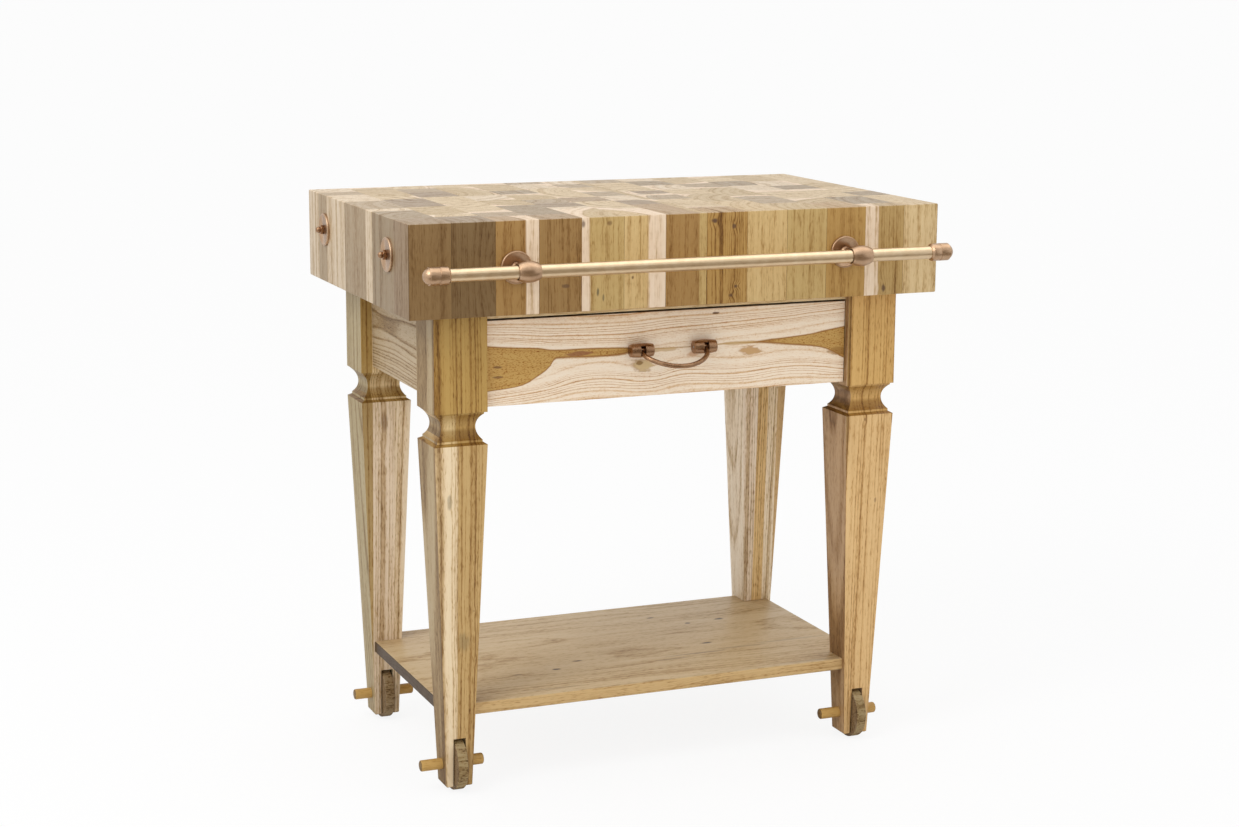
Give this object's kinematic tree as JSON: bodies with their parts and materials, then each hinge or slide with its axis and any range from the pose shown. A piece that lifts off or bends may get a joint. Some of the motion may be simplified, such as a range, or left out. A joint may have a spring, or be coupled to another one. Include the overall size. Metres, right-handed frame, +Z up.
{
  "type": "rolling butcher block",
  "caption": "Thick end-grain chopping block on carved tapered legs with wooden wheels on pegs, a drawer with a bail pull, a low shelf and a copper towel rail.",
  "frame": {"origin": "on the floor, under the middle of the whole outline, rail and cap nuts included", "axes": "+Z up out of the work surface, +X along the block to the right seen from the front, +Y to the back; the drawer and the rail face -Y"},
  "size_m": [0.9338, 0.6315, 0.918],
  "materials": {
    "block_brown": "oiled end-grain block, brown heartwood staves",
    "block_pale": "oiled end-grain block, pale sapwood staves",
    "leg_wood": "clear satin oil",
    "panel_wood": "clear satin oil",
    "inner_wood": "sanded, unfinished",
    "peg_wood": "clear satin oil",
    "wheel_wood": "oiled, end grain on the tread",
    "copper": "brushed antique copper",
    "steel": "zinc plated"
  },
  "bodies": {
    "frame": {"block_slab_1": "block_brown", "block_slab_2": "block_brown", "block_slab_3": "block_brown", "block_slab_4": "block_brown", "block_slab_5": "block_pale", "block_slab_6": "block_pale", "block_slab_7": "block_brown", "block_slab_8": "block_brown", "block_slab_9": "block_pale", "block_slab_10": "block_pale", "block_slab_11": "block_brown", "block_slab_12": "block_brown", "block_slab_13": "block_pale", "leg_front_left": "leg_wood", "leg_front_right": "leg_wood", "leg_back_left": "leg_wood", "leg_back_right": "leg_wood", "apron_left": "panel_wood", "apron_right": "panel_wood", "apron_back": "panel_wood", "front_top_rail": "panel_wood", "shelf": "panel_wood", "top_cleat_left": "inner_wood", "top_cleat_right": "inner_wood", "top_screws": "steel", "drawer_runner_left": "inner_wood", "drawer_runner_right": "inner_wood", "runner_screws": "steel", "wheel_peg_front_left": "peg_wood", "wheel_peg_front_right": "peg_wood", "wheel_peg_back_left": "peg_wood", "wheel_peg_back_right": "peg_wood", "towel_rail": "copper", "rail_cap_left": "copper", "rail_cap_right": "copper", "rail_bracket_left": "copper", "rail_bracket_right": "copper", "rail_rosette_left": "copper", "rail_rosette_right": "copper", "rail_studs": "steel", "rail_grub_screws": "steel", "tie_rod_front": "steel", "tie_rod_back": "steel", "tie_washers": "copper", "tie_nuts": "copper"},
    "drawer": {"drawer_front": "panel_wood", "drawer_side_left": "inner_wood", "drawer_side_right": "inner_wood", "drawer_back": "inner_wood", "drawer_bottom": "inner_wood", "pull_knuckle_left": "copper", "pull_knuckle_right": "copper", "pull_pins": "steel", "pull_screws": "steel"},
    "pull_bail": {"pull_bail": "copper"},
    "wheel_front_left": {"wheel_front_left": "wheel_wood"},
    "wheel_front_right": {"wheel_front_right": "wheel_wood"},
    "wheel_back_left": {"wheel_back_left": "wheel_wood"},
    "wheel_back_right": {"wheel_back_right": "wheel_wood"}
  },
  "joints": [
    {"name": "drawer_slide", "type": "slide", "parent": "frame", "child": "drawer", "axis": [0, -1, 0], "range_m": [0, 0.3]},
    {"name": "pull_bail_hinge", "type": "hinge", "parent": "drawer", "child": "pull_bail", "pos_m": [0, -0.20625, 0.7], "axis": [-1, 0, 0], "range_deg": [0, 50]},
    {"name": "wheel_front_left_spin", "type": "hinge", "parent": "frame", "child": "wheel_front_left", "pos_m": [-0.35575, -0.161, 0.044], "axis": [1, 0, 0], "continuous": true},
    {"name": "wheel_front_right_spin", "type": "hinge", "parent": "frame", "child": "wheel_front_right", "pos_m": [0.35575, -0.161, 0.044], "axis": [1, 0, 0], "continuous": true},
    {"name": "wheel_back_left_spin", "type": "hinge", "parent": "frame", "child": "wheel_back_left", "pos_m": [-0.35575, 0.2325, 0.044], "axis": [1, 0, 0], "continuous": true},
    {"name": "wheel_back_right_spin", "type": "hinge", "parent": "frame", "child": "wheel_back_right", "pos_m": [0.35575, 0.2325, 0.044], "axis": [1, 0, 0], "continuous": true}
  ]
}
